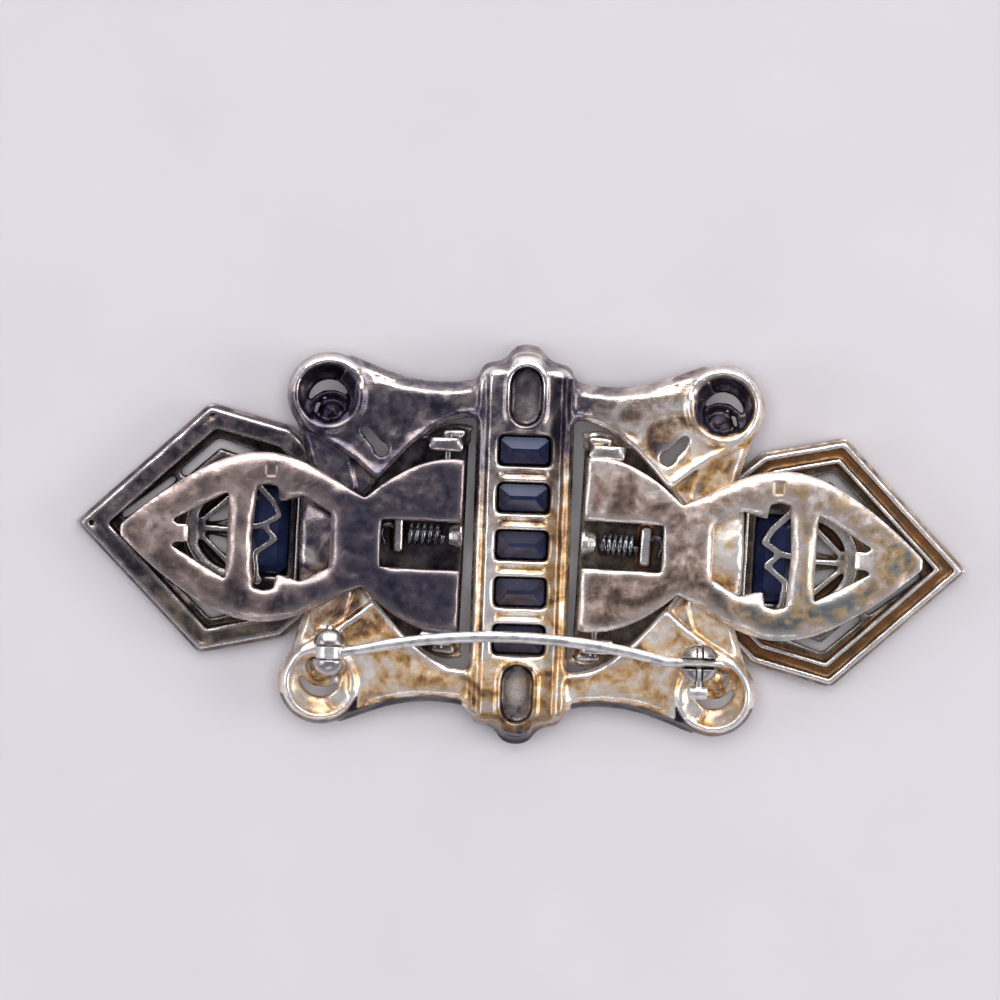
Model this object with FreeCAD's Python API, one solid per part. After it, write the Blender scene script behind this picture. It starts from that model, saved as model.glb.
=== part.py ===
import FreeCAD, Part
import math
import os

V = FreeCAD.Vector

# The jewel lies face down: +Z is its back, +X runs along the two clips, +Y towards the upper scrolls.
# All sizes in millimetres.

# Overall
TIP_X = 38.0
FINIAL_Y = 17.0

# Heights above the surface that the front rests on
PANEL_TOP = 1.5
CASTING_TOP = 3.4
WING_LOW = 2.4
RAIL_LOW = 3.7
RAIL_TOP = 4.7
WING_TOP = 5.0
SCROLL_TOP = 5.3
FLANGE_TOP = 5.5
LADDER_TOP = 6.3
PLATE_LOW = 5.2
PLATE_THICK = 0.9

# Centre column with its five windows
COLUMN_HALF = 4.15
COLUMN_STEP = 0.6
COLUMN_STEP_DROP = 1.1
LADDER_STEP = 0.95
LADDER_END = 14.2
LADDER_HALF = 3.15
GROOVE_WIDTH = 0.3
GROOVE_DEPTH = 0.7
WINDOW_WIDTH = 4.5
WINDOW_LENGTH = 2.65
WINDOW_PITCH = 4.0
WINDOW_COUNT = 5
RUNG_DROP = 0.45
RUNG_CHANNEL = 0.66
RUNG_END = 0.3
LEDGE = 0.22
LEDGE_TOP = 1.6

# Oval hollows at the two ends of the column
OVAL_Y = 12.55
OVAL_HALF_WIDTH = 1.35
OVAL_HALF_LENGTH = 2.5
OVAL_DEPTH = 1.5
LIP_WIDTH = 0.4
LIP_HEIGHT = 0.25

# Step-cut stones
STONE_GAP = 0.07
STONE_TABLE_Z = 1.2
STONE_GIRDLE_LOW = 3.2
STONE_GIRDLE_HIGH = 3.5
STONE_BACK_Z = 5.0
STONE_CORNER = 0.3
CLIP_STONE_LEVELS = (0.3, 0.95, 1.2, 2.15)
CLIP_STONE_CORNER = 0.7

# Wings between the column and the scrolls
WING_STEP = 0.5
WING_STEP_DROP = 0.7
WING_BAND_Y = 12.9
BORDER_WIDTH = 0.6
BORDER_RISE = 0.3
WING_OUTER = [(3.6, 14.1), (7.0, 13.6), (10.5, 14.0), (13.4, 15.0), (15.0, 15.6)]
WING_INNER = [(3.6, 10.6), (6.2, 10.3), (9.4, 8.2), (12.3, 5.0)]
WING_BACK = [(14.2, 6.6), (18.4, 9.2)]
KIDNEY_WIDTH = 0.8
KIDNEY_LINE = [(13.5, 9.3), (12.3, 7.9)]
KIDNEY_END = (12.1, 7.7)
KIDNEY_END_R = 0.62

# Scrolls at the wing ends
SCROLL_X = 16.7
SCROLL_Y = 12.2
SCROLL_R = 3.6
SCROLL_STEP = 0.45
SCROLL_STEP_DROP = 0.6
DISH_R = 3.0
DISH_DEPTH = 1.2
EYE_R = 1.75
EYE_OFFSET = 0.5
KNOB_SHIFT = 0.35
KNOB_OFFSET = 1.55
KNOB_TIERS = [(1.3, 1.35), (0.85, 1.0), (0.35, 0.65)]

# Side rails that the clips slide over, each with a swelling under its plate's window
RAIL_EDGE = 0.3
RAIL_OUTLINE = [(19.3, 9.6), (18.3, 6.4), (18.9, 0), (15.3, 0), (13.6, 3.2), (12.4, 5.0),
                (14.2, 8.0), (15.0, 9.6)]
CROWN_OUTLINE = [(18.7, 9.3), (17.8, 6.4), (18.1, 4.0), (14.5, 4.0), (14.2, 4.4), (15.6, 9.3)]
SWELL_LOW_X = 15.5
SWELL_HIGH_X = 18.8
SWELL_HALF = 3.7
SWELL_R = 9.0
SWELL_TOP = 4.95

# Clip castings
CORNER_X = 27.0
CORNER_Y = 10.7
RIM_WIDTH = 2.0
SIDE_OUTLINE = [(20.0, 9.05), (17.2, 6.6)]
FOOT_INSET = 0.7
FOOT_TOP = 0.7
EDGE_INSET = 0.35
EDGE_DROP = 1.2
RIM_LINE = 0.8
RIM_GROOVE = 0.85
RIM_GROOVE_DEPTH = 0.6
TONGUE_START = 4.9
TONGUE_OUTLINE = [(17.6, 6.2), (13.0, 6.2), (9.2, 8.8), (TONGUE_START, 8.8)]
SLOT_WIDTH = 0.75
SLIT_WIDTH = 0.53
CHEVRON = [(23.2, 6.4), (26.1, 7.3), (28.9, 4.7)]
SLIT = [(29.9, 4.0), (33.9, 0.75)]
PETAL = [(24.7, 0.9), (27.0, 0.45), (26.4, 1.6), (24.7, 2.3)]
CLIP_STONE_X = 21.6
CLIP_STONE_WIDTH = 3.5
CLIP_STONE_LENGTH = 7.6
CLIP_LEDGE = 0.33
CLIP_LEDGE_TOP = 0.5

# Raised work behind the clip's stone: bars, a horseshoe rib and three rays of the fan
BAR_WIDTH = 0.55
BAR_LOW = 2.25
BAR_HIGH = 2.8
BAR_LINE = [(22.9, 4.2), (21.2, 2.5), (20.6, 1.4), (22.0, 0.5), (20.9, -0.6), (22.6, -1.9), (22.3, -4.2)]
BAR_ARM = [(22.0, 0.5), (23.8, 0.2)]
POST_R = 0.45
RIB_X = 24.2
RIB_R = 4.5
RIB_WIDTH = 1.0
RIB_TOP = 2.5
RAY_FROM = (27.9, 0)
RAY_TO_X = 24.8
RAY_SPREAD = 2.9
RAY_WIDTH = 0.5
RAY_TOP = 2.2
SINK = 0.3

# Clip plates and their hinges
HINGE_X = 6.6
HINGE_Z = 5.0
HINGE_END = 5.1
HINGE_HALF = 7.35
EAR_THICK = 0.7
EAR_R = 0.85
LUG_IN = 8.0
LUG_THICK = 0.8
LUG_HALF = 1.45
LUG_SHIFT = 0.2
LUG_R = 0.8
RIVET_R = 0.3
RIVET_HEAD_R = 0.5
RIVET_HEAD = 0.2
RIVET_PLAY = 0.06
WAIST_X = 13.4
WAIST_HALF = 3.75
LEAF_X = 22.0
LEAF_HALF = 7.1
LEAF_TIP = 34.0
SLOT_END = 11.9
SLOT_HALF = 2.0
BEND_X = 22.0
BEND_DROP = 1.5
HINGE_SIDE = [(HINGE_END, HINGE_HALF), (7.3, HINGE_HALF - 0.05), (10.0, 6.3), (WAIST_X, WAIST_HALF)]
LEAF_SIDE = [(WAIST_X, WAIST_HALF), (16.6, 5.5), (LEAF_X - 1.8, LEAF_HALF - 0.1),
             (24.0, LEAF_HALF - 0.15), (28.2, 5.0), (32.6, 1.7), (LEAF_TIP, 0.45)]
RAIL_WINDOW = [(16.2, 0), (16.2, 2.3), (18.6, 3.6), (19.9, 3.2), (20.6, 3.1), (20.8, 4.3), (21.6, 4.5),
               (22.5, 4.3), (22.8, 0)]
TIP_WINDOW = [(24.9, 0), (24.9, 3.7), (29.6, 1.1), (29.2, 0.75), (28.2, 0.75), (28.2, 0)]
MARK_X = 20.9
MARK_Y = 5.1
MARK_WIDTH = 1.0
MARK_LENGTH = 1.2
MARK_DEPTH = 0.15

# The clips sit a little turned under the rails, and each plate stands to one side on its hinge
LEFT_TURN = -1.0
RIGHT_TURN = -1.6
PLATE_PLAY = 0.4

# Springs
SPRING_R = 1.0
WIRE_R = 0.18
SPRING_Y = 0.45
SPRING_Z = 3.55
SPRING_START = 6.45
SPRING_PITCH = 0.58
SPRING_TURNS = 6
CONE_START = 5.0
CONE_LENGTH = 1.3
CONE_R = 1.3
CONE_END_R = 0.8
SEAT_X = 10.05
SEAT_THICK = 0.85
SEAT_HALF = 1.6
SEAT_RISE = 0.9

# Brooch pin, its ball joint and its catch
JOINT_X = -15.9
JOINT_Y = -9.5
PIN_Z = 6.7
BALL_R = 1.4
JOINT_PLAY = 0.08
JOINT_FOOT = 1.0
FOOT_LOW = 3.0
SOCKET_DEPTH = 0.8
NUB_R = 0.34
NUB_HEIGHT = 0.25
HEAD_HALF = 0.55
HEAD_R = 1.15
STEM_R = 0.42
STEM_TIP_R = 0.26
STEM_TOP_X = -1.2
STEM_TOP_Z = 8.3
STEM_TOP_Y = -8.2
STEM_SLOPE = 0.16
TIP_OVERHANG = 1.9
POINT_LENGTH = 4.9
CATCH_X = 15.3
CATCH_Y = -9.4
CATCH_R = 1.7
CATCH_SLOT = 0.47
CATCH_FOOT = 1.1
SPLIT_DEPTH = 0.5
CHANNEL_EXTRA = 0.3
STEM_ASIDE = 0.08
LOCK_R = 1.2
LOCK_HALF = 0.22
LOCK_PLAY = 0.08
LEVER_LENGTH = 2.5
LEVER_LOW = 0.42
LEVER_HIGH = 0.35
TAB_R = 0.55
TAB_HALF = 0.75

BIG = 60.0


def polygon_face(points, z):
    corners = [V(x, y, z) for x, y in points]
    return Part.Face(Part.makePolygon(corners + corners[:1]))


def prism(points, z_low, z_high):
    return polygon_face(points, z_low).extrude(V(0, 0, z_high - z_low))


def box(x0, x1, y0, y1, z0, z1):
    return Part.makeBox(x1 - x0, y1 - y0, z1 - z0, V(x0, y0, z0))


def post(x, y, radius, z_low, z_high):
    return Part.makeCylinder(radius, z_high - z_low, V(x, y, z_low))


def pin_along_y(x, z, radius, y_low, y_high):
    return Part.makeCylinder(radius, y_high - y_low, V(x, y_low, z), V(0, 1, 0))


def strip(start, end, width, z_low, z_high):
    """A straight bar or slot between two points, with round ends."""
    length = math.hypot(end[0] - start[0], end[1] - start[1])
    bar = box(0, length, -width / 2, width / 2, z_low, z_high)
    for x in (0, length):
        bar = bar.fuse(post(x, 0, width / 2, z_low, z_high))
    angle = math.degrees(math.atan2(end[1] - start[1], end[0] - start[0]))
    bar.rotate(V(0, 0, 0), V(0, 0, 1), angle)
    bar.translate(V(start[0], start[1], 0))
    return bar


def chain(points, width, z_low, z_high):
    """Bars joined end to end along a list of points."""
    bars = [strip(a, b, width, z_low, z_high) for a, b in zip(points, points[1:])]
    return bars[0].multiFuse(bars[1:]) if bars[1:] else bars[0]


def curve(points, z):
    """One smooth edge through the points."""
    line = Part.BSplineCurve()
    line.interpolate([V(x, y, z) for x, y in points])
    return line.toShape()


def straight(start, end, z):
    return Part.makeLine(V(start[0], start[1], z), V(end[0], end[1], z))


def closed_prism(edges, z_low, z_high):
    wire = Part.Wire(Part.__sortEdges__(edges))
    return Part.Face(wire).extrude(V(0, 0, z_high - z_low))


def capsule(x, y, half_width, half_length, z_low, z_high):
    reach = half_length - half_width
    return strip((x, y - reach), (x, y + reach), 2 * half_width, z_low, z_high)


def flip_x(shape):
    return shape.mirror(V(0, 0, 0), V(1, 0, 0))


def flip_y(shape):
    return shape.mirror(V(0, 0, 0), V(0, 1, 0))


def both_y(shape):
    return shape.fuse(flip_y(shape))


def both_x(shape):
    return shape.fuse(flip_x(shape))


def inset(points, distance):
    """The outline moved inwards, as a list of corners."""
    face = polygon_face(points, 0).makeOffset2D(-distance, join=2)
    return [(v.Point.x, v.Point.y) for v in face.OuterWire.OrderedVertexes]


def step_cut(width, length, z_table, z_girdle_low, z_girdle_high, z_back, corner):
    """A step-cut stone with cut corners: a table, a girdle and two rows of back facets."""
    levels = [
        (z_table, 0.62),
        ((z_table + z_girdle_low) / 2, 0.86),
        (z_girdle_low, 1.0),
        (z_girdle_high, 1.0),
        (z_girdle_high + (z_back - z_girdle_high) * 0.45, 0.84),
        (z_back, 0.50),
    ]
    rings = []
    for z, share in levels:
        half_x = width / 2 - (1 - share) * min(width, length) / 2
        half_y = length / 2 - (1 - share) * min(width, length) / 2
        cut = corner * share
        quarter = [(half_x - cut, half_y), (half_x, half_y - cut)]
        ring = [quarter[0], quarter[1]]
        ring += [(half_x, cut - half_y), (half_x - cut, -half_y)]
        ring += [(cut - half_x, -half_y), (-half_x, cut - half_y)]
        ring += [(-half_x, half_y - cut), (cut - half_x, half_y)]
        rings.append([V(x, y, z) for x, y in ring])
    faces = [Part.Face(Part.makePolygon(rings[0] + rings[0][:1]))]
    faces.append(Part.Face(Part.makePolygon(rings[-1] + rings[-1][:1])))
    for low, high in zip(rings, rings[1:]):
        for i in range(len(low)):
            j = (i + 1) % len(low)
            faces.append(Part.Face(Part.makePolygon([low[i], low[j], high[j], high[i], low[i]])))
    return Part.Solid(Part.makeShell(faces))


def window_centres():
    middle = (WINDOW_COUNT - 1) / 2
    return [(middle - i) * WINDOW_PITCH for i in range(WINDOW_COUNT)]


def finial_curve(step):
    """The column's bell-shaped end, from the right flank over the middle lobe to the left one."""
    flank = COLUMN_HALF - step * 0.3
    half = [(flank, 13.9), (flank - 0.2, 14.7 - step * 0.5), (flank - 0.75, 15.3 - step * 0.6)]
    half += [(2.5, 15.5 - step * 0.7), (1.75 - step * 0.3, 15.9 - step), (1.2, 16.6 - step)]
    half += [(0.6, FINIAL_Y - 0.08 - step)]
    return half + [(0, FINIAL_Y - step)] + [(-x, y) for x, y in reversed(half)]


def column_slab(step, z_low, z_high):
    top = finial_curve(step)
    bottom = [(x, -y) for x, y in top]
    edges = [curve(top, z_low), curve(bottom, z_low)]
    edges.append(straight(top[0], bottom[0], z_low))
    edges.append(straight(top[-1], bottom[-1], z_low))
    return closed_prism(edges, z_low, z_high)


def ladder_blank():
    """The raised middle of the column, its ends following the finials."""
    return column_slab(LADDER_STEP, FLANGE_TOP, LADDER_TOP).common(
        box(-LADDER_HALF, LADDER_HALF, -BIG, BIG, FLANGE_TOP, BIG))


def oval_rim(side):
    """The raised lip round an oval hollow."""
    lip = capsule(0, side * OVAL_Y, OVAL_HALF_WIDTH + LIP_WIDTH, OVAL_HALF_LENGTH + LIP_WIDTH,
                  LADDER_TOP, LADDER_TOP + LIP_HEIGHT)
    return lip.common(column_slab(LADDER_STEP, LADDER_TOP, LADDER_TOP + LIP_HEIGHT))


def column():
    """The ladder column: stepped ends, side flanges, grooves, windows and oval hollows."""
    step_z = FLANGE_TOP - COLUMN_STEP_DROP
    body = column_slab(0, 0, step_z).fuse(column_slab(COLUMN_STEP, step_z, FLANGE_TOP))
    body = body.fuse(ladder_blank()).fuse(oval_rim(1)).fuse(oval_rim(-1))
    groove = box(LADDER_HALF, LADDER_HALF + GROOVE_WIDTH, -LADDER_END, LADDER_END,
                 FLANGE_TOP - GROOVE_DEPTH, FLANGE_TOP)
    body = body.cut(both_x(groove))
    half_x = WINDOW_WIDTH / 2
    half_y = WINDOW_LENGTH / 2
    for y in window_centres():
        opening = box(-half_x, half_x, y - half_y, y + half_y, LEDGE_TOP, BIG)
        sight = box(LEDGE - half_x, half_x - LEDGE, y - half_y + LEDGE, y + half_y - LEDGE, -1, BIG)
        body = body.cut(opening).cut(sight)
    reach = half_x - RUNG_END
    for y in window_centres()[1:]:
        rung_y = y + WINDOW_PITCH / 2
        body = body.cut(box(-reach, reach, rung_y - RUNG_CHANNEL / 2, rung_y + RUNG_CHANNEL / 2,
                            LADDER_TOP - RUNG_DROP, BIG))
    for side in (-1, 1):
        hollow = capsule(0, side * OVAL_Y, OVAL_HALF_WIDTH, OVAL_HALF_LENGTH,
                         LADDER_TOP - OVAL_DEPTH, BIG)
        body = body.cut(hollow)
    return body


def wing_sheet(step, border, z_low, z_high):
    """The upper right wing's outline: step pulls the outer edge in, border the inner edge."""
    outer = [(x, y - step) for x, y in WING_OUTER]
    inner = [(x, y + border) for x, y in WING_INNER]
    back = [inner[-1], (WING_BACK[0][0], WING_BACK[0][1] + border), WING_BACK[1]]
    edges = [curve(outer, z_low), curve(inner, z_low), curve(back, z_low)]
    edges.append(straight(outer[0], inner[0], z_low))
    edges.append(straight(outer[-1], back[-1], z_low))
    return closed_prism(edges, z_low, z_high)


def kidney_hole():
    hole = strip(KIDNEY_LINE[0], KIDNEY_LINE[1], KIDNEY_WIDTH, 0, BIG)
    return hole.fuse(post(KIDNEY_END[0], KIDNEY_END[1], KIDNEY_END_R, 0, BIG))


def wing(pierced):
    """One wing, upper right: a sheet with a rolled outer edge and a raised inner border."""
    edge_band = wing_sheet(0, 0, WING_LOW, RAIL_LOW).cut(box(0, BIG, -BIG, WING_BAND_Y, -1, BIG))
    step_z = WING_TOP - WING_STEP_DROP
    body = wing_sheet(0, 0, RAIL_LOW, step_z).fuse(wing_sheet(WING_STEP, 0, step_z, WING_TOP))
    border = wing_sheet(WING_STEP, 0, WING_TOP, WING_TOP + BORDER_RISE)
    border = border.cut(wing_sheet(-1.0, BORDER_WIDTH, WING_TOP - 1, WING_TOP + 1))
    body = body.fuse(edge_band).fuse(border)
    return body.cut(kidney_hole()) if pierced else body


def scroll():
    """The volute at the end of the upper right wing, dished."""
    step_z = SCROLL_TOP - SCROLL_STEP_DROP
    ring = post(SCROLL_X, SCROLL_Y, SCROLL_R, WING_LOW, step_z)
    ring = ring.fuse(post(SCROLL_X, SCROLL_Y, SCROLL_R - SCROLL_STEP, step_z, SCROLL_TOP))
    dish = Part.makeCone(EYE_R, DISH_R, DISH_DEPTH, V(SCROLL_X, SCROLL_Y, SCROLL_TOP - DISH_DEPTH))
    return ring.cut(dish)


def scroll_eye():
    return post(SCROLL_X, SCROLL_Y - EYE_OFFSET, EYE_R, 0, BIG)


def knob():
    """The stepped knob that the scroll curls round, at the lower side of its eye."""
    tiers = [post(SCROLL_X - KNOB_SHIFT, SCROLL_Y - KNOB_OFFSET, radius, WING_LOW, SCROLL_TOP - drop)
             for radius, drop in KNOB_TIERS]
    return tiers[0].multiFuse(tiers[1:])


def rail():
    """The right side rail that the clip slides over, with its swelling under the plate's window."""
    flat = both_y(prism(RAIL_OUTLINE, RAIL_LOW, RAIL_TOP - RAIL_EDGE))
    crown = both_y(prism(CROWN_OUTLINE, RAIL_TOP - RAIL_EDGE, RAIL_TOP))
    swell = Part.makeCylinder(SWELL_R, SWELL_HIGH_X - SWELL_LOW_X, V(SWELL_LOW_X, 0, SWELL_TOP - SWELL_R),
                              V(1, 0, 0))
    swell = swell.common(box(0, BIG, -SWELL_HALF, SWELL_HALF, RAIL_LOW, BIG))
    return flat.fuse(crown).fuse(swell)


def ball_joint():
    """Two domed cheeks for the head of the pin, soldered on the lower left scroll."""
    ball = Part.makeSphere(BALL_R, V(0, 0, 0))
    upper = ball.copy().cut(box(-BIG, BIG, -BIG, 0, -BIG, BIG))
    lower = ball.copy().cut(box(-BIG, BIG, 0, BIG, -BIG, BIG))
    gap = HEAD_HALF + JOINT_PLAY
    upper.translate(V(JOINT_X, JOINT_Y + gap, PIN_Z))
    lower.translate(V(JOINT_X, JOINT_Y - gap, PIN_Z))
    reach = gap + BALL_R * 0.8
    foot = box(JOINT_X - JOINT_FOOT, JOINT_X + JOINT_FOOT, JOINT_Y - reach, JOINT_Y + reach,
               FOOT_LOW, PIN_Z)
    slot = box(JOINT_X - BIG, JOINT_X + BIG, JOINT_Y - gap, JOINT_Y + gap, PIN_Z - HEAD_R - 0.15, BIG)
    dome_y = JOINT_Y + gap + BALL_R
    nub = pin_along_y(JOINT_X, PIN_Z, NUB_R, dome_y - NUB_HEIGHT, dome_y + NUB_HEIGHT)
    depth = gap + SOCKET_DEPTH + RIVET_PLAY
    bore = pin_along_y(JOINT_X, PIN_Z, RIVET_R + RIVET_PLAY / 2, JOINT_Y - depth, JOINT_Y + depth)
    return foot.cut(slot).fuse(upper).fuse(lower).fuse(nub).cut(bore)


def catch_housing():
    """The split ball that takes the tip of the pin, soldered on the lower right scroll."""
    ball = Part.makeSphere(CATCH_R, V(CATCH_X, CATCH_Y, PIN_Z))
    foot = box(CATCH_X - CATCH_FOOT, CATCH_X + CATCH_FOOT, CATCH_Y - CATCH_FOOT, CATCH_Y + CATCH_FOOT,
               FOOT_LOW, PIN_Z - CATCH_R / 2)
    body = ball.fuse(foot)
    channel = box(CATCH_X - BIG, CATCH_X + BIG, CATCH_Y - CATCH_SLOT, CATCH_Y + CATCH_SLOT,
                  PIN_Z - CATCH_SLOT - CHANNEL_EXTRA, BIG)
    half = LOCK_HALF + LOCK_PLAY
    split = box(CATCH_X - half, CATCH_X + half, CATCH_Y - BIG, CATCH_Y + BIG, PIN_Z - SPLIT_DEPTH, BIG)
    seat = Part.makeCylinder(LOCK_R + LOCK_PLAY, 2 * half, V(CATCH_X - half, CATCH_Y, PIN_Z), V(1, 0, 0))
    return body.cut(channel).cut(split).cut(seat)


def frame_body():
    """The brooch frame: column, wings, scrolls, rails, ball joint and catch, one soldered piece."""
    pieces = []
    for pierced in (True, False):
        for piece in (wing(pierced), scroll()):
            piece = piece if pierced else flip_y(piece)
            pieces += [piece, flip_x(piece)]
    pieces += [rail(), flip_x(rail())]
    body = column().multiFuse(pieces)
    body = body.cut(both_y(both_x(scroll_eye())))
    body = body.fuse(both_y(both_x(knob())))
    return body.multiFuse([ball_joint(), catch_housing()]).removeSplitter()


def pentagon():
    upper = [(CORNER_X, CORNER_Y)] + SIDE_OUTLINE
    lower = [(x, -y) for x, y in reversed(upper)]
    return [(TIP_X, 0)] + upper + lower


def spring_seats():
    """The cone at the hinge end of the spring and the upright at its other end."""
    cone = Part.makeCone(CONE_R, CONE_END_R, CONE_LENGTH, V(CONE_START, SPRING_Y, SPRING_Z), V(1, 0, 0))
    stem = box(CONE_START, CONE_START + CONE_LENGTH / 2, SPRING_Y - CONE_END_R, SPRING_Y + CONE_END_R,
               PANEL_TOP - SINK, SPRING_Z)
    seat = box(SEAT_X, SEAT_X + SEAT_THICK, SPRING_Y - SEAT_HALF, SPRING_Y + SEAT_HALF,
               PANEL_TOP - SINK, SPRING_Z + SEAT_RISE)
    return stem.fuse(cone).fuse(seat)


def openwork():
    """Through cuts of the right casting: slots along the rim and petals round the fan."""
    chevron = chain(CHEVRON, SLOT_WIDTH, -1, BIG)
    slit = strip(SLIT[0], SLIT[1], SLIT_WIDTH, -1, BIG)
    cuts = both_y(chevron.fuse(slit).fuse(prism(PETAL, -1, BIG)))
    half_x = CLIP_STONE_WIDTH / 2
    half_y = CLIP_STONE_LENGTH / 2
    stone_well = box(CLIP_STONE_X - half_x, CLIP_STONE_X + half_x, -half_y, half_y,
                     CLIP_LEDGE_TOP, BIG)
    sight = box(CLIP_STONE_X - half_x + CLIP_LEDGE, CLIP_STONE_X + half_x - CLIP_LEDGE,
                CLIP_LEDGE - half_y, half_y - CLIP_LEDGE, -1, BIG)
    return cuts.fuse(stone_well).fuse(sight)


def gallery():
    """Raised bars behind the clip's stone, and the horseshoe rib round the fan."""
    root = PANEL_TOP - SINK
    bars = chain(BAR_LINE, BAR_WIDTH, BAR_LOW, BAR_HIGH)
    bars = bars.fuse(strip(BAR_ARM[0], BAR_ARM[1], BAR_WIDTH, BAR_LOW, BAR_HIGH))
    for x, y in (BAR_LINE[0], BAR_LINE[-1], BAR_ARM[1]):
        bars = bars.fuse(post(x, y, POST_R, root, BAR_HIGH))
    rib = post(RIB_X, 0, RIB_R, root, RIB_TOP).cut(post(RIB_X, 0, RIB_R - RIB_WIDTH, 0, BIG))
    rib = rib.cut(box(0, RIB_X, -BIG, BIG, 0, BIG))
    rays = [strip(RAY_FROM, (RAY_TO_X, y), RAY_WIDTH, root, RAY_TOP) for y in (-RAY_SPREAD, 0, RAY_SPREAD)]
    return bars.fuse(rib).multiFuse(rays)


def hinge_lug():
    """The upright at one side of the tongue that holds the plate's hinge rivet."""
    start = HINGE_X + LUG_SHIFT - LUG_HALF
    end = HINGE_X + LUG_SHIFT + LUG_HALF
    lug = box(start, end, LUG_IN, LUG_IN + LUG_THICK, PANEL_TOP - SINK, HINGE_Z)
    top = box(start + LUG_R, end - LUG_R, LUG_IN, LUG_IN + LUG_THICK, HINGE_Z, HINGE_Z + LUG_R)
    for x in (start + LUG_R, end - LUG_R):
        top = top.fuse(pin_along_y(x, HINGE_Z, LUG_R, LUG_IN, LUG_IN + LUG_THICK))
    return lug.fuse(top).cut(pin_along_y(HINGE_X, HINGE_Z, RIVET_R + RIVET_PLAY / 2, 0, BIG))


def clip_casting():
    """The right clip's casting: pierced pentagon, rim, tongue, hinge lugs and spring seats."""
    outline = pentagon()
    step_z = CASTING_TOP - EDGE_DROP
    body = prism(outline, FOOT_TOP, step_z).fuse(prism(inset(outline, FOOT_INSET), 0, FOOT_TOP))
    body = body.fuse(prism(inset(outline, EDGE_INSET), step_z, CASTING_TOP))
    body = body.cut(prism(inset(outline, RIM_WIDTH), PANEL_TOP, BIG))
    groove = prism(inset(outline, RIM_LINE), CASTING_TOP - RIM_GROOVE_DEPTH, BIG)
    groove = groove.cut(prism(inset(outline, RIM_LINE + RIM_GROOVE), 0, BIG))
    body = body.cut(groove)
    tongue = TONGUE_OUTLINE + [(x, -y) for x, y in reversed(TONGUE_OUTLINE)]
    body = body.fuse(prism(tongue, 0, PANEL_TOP))
    body = body.fuse(both_y(hinge_lug())).fuse(spring_seats())
    return body.cut(openwork()).fuse(gallery()).removeSplitter()


def plate_blank():
    """Outline of the right plate, cut from one sheet."""
    edges = []
    for side in (1, -1):
        edges.append(curve([(x, side * y) for x, y in HINGE_SIDE], 0))
        edges.append(curve([(x, side * y) for x, y in LEAF_SIDE], 0))
    edges.append(straight((HINGE_END, HINGE_HALF), (HINGE_END, -HINGE_HALF), 0))
    tip_x, tip_y = LEAF_SIDE[-1]
    edges.append(straight((tip_x, tip_y), (tip_x, -tip_y), 0))
    return closed_prism(edges, 0, 2 * PLATE_LOW)


def bent_line(z):
    """One face of the sheet from the side: straight to the bend, then falling to the tip."""
    side = -2 * HINGE_HALF
    start = V(HINGE_END - 1, side, z)
    bend = V(BEND_X, side, z)
    middle = V((BEND_X + LEAF_TIP) / 2, side, z - BEND_DROP * 0.3)
    end = V(LEAF_TIP + 0.5, side, z - BEND_DROP)
    return [start, end], [Part.makeLine(start, bend), Part.Arc(bend, middle, end).toShape()]


def bent_sheet():
    """The bent sheet, wider than the plate."""
    low_ends, edges = bent_line(PLATE_LOW)
    top_ends, top_edges = bent_line(PLATE_LOW + PLATE_THICK)
    edges += top_edges
    edges += [Part.makeLine(low, top) for low, top in zip(low_ends, top_ends)]
    return Part.Face(Part.Wire(Part.__sortEdges__(edges))).extrude(V(0, 4 * HINGE_HALF, 0))


def plate_windows():
    """The spring's slot, the stepped window over the rail and the three-cornered one at the tip."""
    slot = box(HINGE_END - 1, SLOT_END, -SLOT_HALF, SLOT_HALF, 0, BIG)
    return slot.fuse(both_y(prism(RAIL_WINDOW, 0, BIG))).fuse(both_y(prism(TIP_WINDOW, 0, BIG)))


def clip_plate():
    """The right clip's sprung plate, with an ear turned down at each side of the hinge end."""
    body = plate_blank().common(bent_sheet())
    ear_in = HINGE_HALF - EAR_THICK
    ear = pin_along_y(HINGE_X, HINGE_Z, EAR_R, ear_in, HINGE_HALF)
    ear = ear.fuse(box(HINGE_X - EAR_R, HINGE_X + EAR_R, ear_in, HINGE_HALF, HINGE_Z, PLATE_LOW + 0.1))
    body = body.fuse(both_y(ear))
    body = body.cut(pin_along_y(HINGE_X, HINGE_Z, RIVET_R + RIVET_PLAY, -BIG, BIG))
    mark = box(MARK_X, MARK_X + MARK_WIDTH, MARK_Y, MARK_Y + MARK_LENGTH,
               PLATE_LOW + PLATE_THICK - MARK_DEPTH, BIG)
    return body.cut(plate_windows()).cut(mark).removeSplitter()


def hinge_rivet():
    """The upper rivet of the right clip: shank through the lug and the ear, with a head outside."""
    lug_out = LUG_IN + LUG_THICK + 0.02
    shank = pin_along_y(HINGE_X, HINGE_Z, RIVET_R, HINGE_HALF - EAR_THICK - PLATE_PLAY, lug_out)
    return shank.fuse(pin_along_y(HINGE_X, HINGE_Z, RIVET_HEAD_R, lug_out, lug_out + RIVET_HEAD))


def spring():
    """The outer form of the right coil, one groove between neighbouring turns."""
    half = SPRING_PITCH / 2
    inner = SPRING_R - 2 * WIRE_R
    points = [(0, inner - 0.1)]
    for turn in range(SPRING_TURNS):
        centre = half + turn * SPRING_PITCH
        for share, radius in ((-0.5, SPRING_R - WIRE_R), (-0.25, SPRING_R), (0.25, SPRING_R)):
            points.append((centre + share * SPRING_PITCH, radius))
    length = SPRING_TURNS * SPRING_PITCH
    points += [(length, SPRING_R - WIRE_R), (length, inner - 0.1)]
    corners = [V(SPRING_START + x, 0, r) for x, r in points]
    face = Part.Face(Part.makePolygon(corners + corners[:1]))
    body = face.revolve(V(0, 0, 0), V(1, 0, 0), 360)
    body.translate(V(0, SPRING_Y, SPRING_Z))
    return body


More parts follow.
